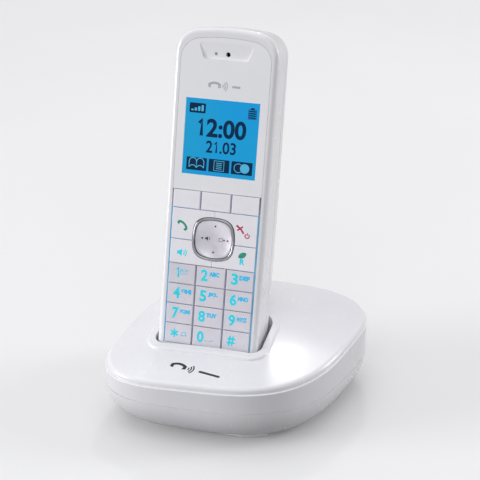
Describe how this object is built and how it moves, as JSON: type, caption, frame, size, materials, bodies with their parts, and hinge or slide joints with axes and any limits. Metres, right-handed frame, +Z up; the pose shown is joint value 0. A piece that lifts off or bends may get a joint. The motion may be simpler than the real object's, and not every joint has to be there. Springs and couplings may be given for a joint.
{
  "type": "cordless phone with base",
  "caption": "Cordless telephone: slim white handset with square lit display and lit keypad, leaning back in the pocket of a low rounded charging base.",
  "frame": {"origin": "on the standing surface, under the middle of the base's footprint", "axes": "+Z up; +X to the right seen from the front; -Y towards the user, so the handset's face looks along -Y and a little up"},
  "size_m": [0.1075, 0.0914, 0.168],
  "materials": {
    "white_gloss_abs": "gloss",
    "white_fascia": "high gloss",
    "key_plastic": "satin",
    "display_blue": "matte, lit from behind",
    "cyan_light": "satin, lit from behind",
    "light_guide": "clear",
    "nav_chrome": "mirror",
    "nav_pearl": "pearl satin",
    "silicone": "matte",
    "foot_rubber": "matte",
    "zinc_steel": "satin",
    "tinned_steel": "satin",
    "nickel_plate": "bright",
    "circuit_board": "satin",
    "black_nylon": "matte",
    "cell_sleeve": "gloss"
  },
  "bodies": {
    "base": {"base_upper_case": "white_gloss_abs", "base_lower_case": "white_gloss_abs", "base_feet": "foot_rubber", "base_screws": "zinc_steel", "base_circuit_board": "circuit_board", "power_inlet": "black_nylon", "line_socket": "black_nylon", "base_radio_shield": "tinned_steel", "base_antenna": "tinned_steel", "locator_switch": "black_nylon", "contact_carrier": "black_nylon"},
    "handset": {"handset_front_case": "white_gloss_abs", "handset_rear_case": "white_gloss_abs", "fascia_panel": "white_fascia", "display_glass": "display_blue", "display_backlight": "light_guide", "call_light_guide": "light_guide", "keypad_light_strips": "cyan_light", "keypad_mat": "silicone", "nav_ring": "nav_chrome", "handset_circuit_board": "circuit_board", "handset_radio_shield": "tinned_steel", "handset_antenna": "tinned_steel", "ear_receiver": "black_nylon", "ringer_speaker": "black_nylon", "microphone": "tinned_steel", "charge_terminals": "nickel_plate", "battery_cell_left": "cell_sleeve", "battery_cell_right": "cell_sleeve", "battery_springs": "nickel_plate", "battery_contacts": "nickel_plate", "handset_screws": "zinc_steel"},
    "battery_cover": {"battery_cover": "white_gloss_abs"},
    "nav_rocker": {"nav_rocker": "silicone"},
    "nav_key": {"nav_key": "nav_pearl"},
    "locator_button": {"locator_button": "white_gloss_abs"},
    "charge_contact_left": {"charge_contact_left": "nickel_plate"},
    "charge_contact_right": {"charge_contact_right": "nickel_plate"},
    "key_1": {"key_1": "key_plastic"},
    "key_2": {"key_2": "key_plastic"},
    "key_3": {"key_3": "key_plastic"},
    "key_4": {"key_4": "key_plastic"},
    "key_5": {"key_5": "key_plastic"},
    "key_6": {"key_6": "key_plastic"},
    "key_7": {"key_7": "key_plastic"},
    "key_8": {"key_8": "key_plastic"},
    "key_9": {"key_9": "key_plastic"},
    "key_star": {"key_star": "key_plastic"},
    "key_0": {"key_0": "key_plastic"},
    "key_hash": {"key_hash": "key_plastic"},
    "soft_key_left": {"soft_key_left": "key_plastic"},
    "soft_key_middle": {"soft_key_middle": "key_plastic"},
    "soft_key_right": {"soft_key_right": "key_plastic"},
    "talk_key": {"talk_key": "key_plastic"},
    "off_key": {"off_key": "key_plastic"},
    "speaker_key": {"speaker_key": "key_plastic"},
    "recall_key": {"recall_key": "key_plastic"}
  },
  "joints": [
    {"name": "handset_lift", "type": "slide", "parent": "base", "child": "handset", "axis": [0, 0.2588, 0.9659], "range_m": [0, 0.07]},
    {"name": "battery_cover_off", "type": "slide", "parent": "handset", "child": "battery_cover", "axis": [0, 0.9659, -0.2588], "range_m": [0, 0.02]},
    {"name": "nav_tilt_up_down", "type": "hinge", "parent": "handset", "child": "nav_rocker", "pos_m": [-0.00952, -0.00305, 0.08034], "axis": [1, 0, 0], "range_deg": [-2.5, 2.5], "stiffness_Nm_per_rad": 0.1},
    {"name": "nav_tilt_left_right", "type": "hinge", "parent": "nav_rocker", "child": "nav_key", "pos_m": [-0.00952, -0.00305, 0.08034], "axis": [0, 0.2588, 0.9659], "range_deg": [-2.5, 2.5], "stiffness_Nm_per_rad": 0.1},
    {"name": "locator_press", "type": "slide", "parent": "base", "child": "locator_button", "axis": [0, -1, 0], "range_m": [0, 0.0005], "stiffness_N_per_m": 500},
    {"name": "charge_contact_left_press", "type": "slide", "parent": "base", "child": "charge_contact_left", "axis": [0, -0.2588, -0.9659], "range_m": [0, 0.001], "stiffness_N_per_m": 300},
    {"name": "charge_contact_right_press", "type": "slide", "parent": "base", "child": "charge_contact_right", "axis": [0, -0.2588, -0.9659], "range_m": [0, 0.001], "stiffness_N_per_m": 300},
    {"name": "key_1_press", "type": "slide", "parent": "handset", "child": "key_1", "axis": [0, 0.9659, -0.2588], "range_m": [0, 0.0005], "stiffness_N_per_m": 500},
    {"name": "key_2_press", "type": "slide", "parent": "handset", "child": "key_2", "axis": [0, 0.9659, -0.2588], "range_m": [0, 0.0005], "stiffness_N_per_m": 500},
    {"name": "key_3_press", "type": "slide", "parent": "handset", "child": "key_3", "axis": [0, 0.9659, -0.2588], "range_m": [0, 0.0005], "stiffness_N_per_m": 500},
    {"name": "key_4_press", "type": "slide", "parent": "handset", "child": "key_4", "axis": [0, 0.9659, -0.2588], "range_m": [0, 0.0005], "stiffness_N_per_m": 500},
    {"name": "key_5_press", "type": "slide", "parent": "handset", "child": "key_5", "axis": [0, 0.9659, -0.2588], "range_m": [0, 0.0005], "stiffness_N_per_m": 500},
    {"name": "key_6_press", "type": "slide", "parent": "handset", "child": "key_6", "axis": [0, 0.9659, -0.2588], "range_m": [0, 0.0005], "stiffness_N_per_m": 500},
    {"name": "key_7_press", "type": "slide", "parent": "handset", "child": "key_7", "axis": [0, 0.9659, -0.2588], "range_m": [0, 0.0005], "stiffness_N_per_m": 500},
    {"name": "key_8_press", "type": "slide", "parent": "handset", "child": "key_8", "axis": [0, 0.9659, -0.2588], "range_m": [0, 0.0005], "stiffness_N_per_m": 500},
    {"name": "key_9_press", "type": "slide", "parent": "handset", "child": "key_9", "axis": [0, 0.9659, -0.2588], "range_m": [0, 0.0005], "stiffness_N_per_m": 500},
    {"name": "key_star_press", "type": "slide", "parent": "handset", "child": "key_star", "axis": [0, 0.9659, -0.2588], "range_m": [0, 0.0005], "stiffness_N_per_m": 500},
    {"name": "key_0_press", "type": "slide", "parent": "handset", "child": "key_0", "axis": [0, 0.9659, -0.2588], "range_m": [0, 0.0005], "stiffness_N_per_m": 500},
    {"name": "key_hash_press", "type": "slide", "parent": "handset", "child": "key_hash", "axis": [0, 0.9659, -0.2588], "range_m": [0, 0.0005], "stiffness_N_per_m": 500},
    {"name": "soft_key_left_press", "type": "slide", "parent": "handset", "child": "soft_key_left", "axis": [0, 0.9659, -0.2588], "range_m": [0, 0.0005], "stiffness_N_per_m": 500},
    {"name": "soft_key_middle_press", "type": "slide", "parent": "handset", "child": "soft_key_middle", "axis": [0, 0.9659, -0.2588], "range_m": [0, 0.0005], "stiffness_N_per_m": 500},
    {"name": "soft_key_right_press", "type": "slide", "parent": "handset", "child": "soft_key_right", "axis": [0, 0.9659, -0.2588], "range_m": [0, 0.0005], "stiffness_N_per_m": 500},
    {"name": "talk_key_press", "type": "slide", "parent": "handset", "child": "talk_key", "axis": [0, 0.9659, -0.2588], "range_m": [0, 0.0005], "stiffness_N_per_m": 500},
    {"name": "off_key_press", "type": "slide", "parent": "handset", "child": "off_key", "axis": [0, 0.9659, -0.2588], "range_m": [0, 0.0005], "stiffness_N_per_m": 500},
    {"name": "speaker_key_press", "type": "slide", "parent": "handset", "child": "speaker_key", "axis": [0, 0.9659, -0.2588], "range_m": [0, 0.0005], "stiffness_N_per_m": 500},
    {"name": "recall_key_press", "type": "slide", "parent": "handset", "child": "recall_key", "axis": [0, 0.9659, -0.2588], "range_m": [0, 0.0005], "stiffness_N_per_m": 500}
  ]
}
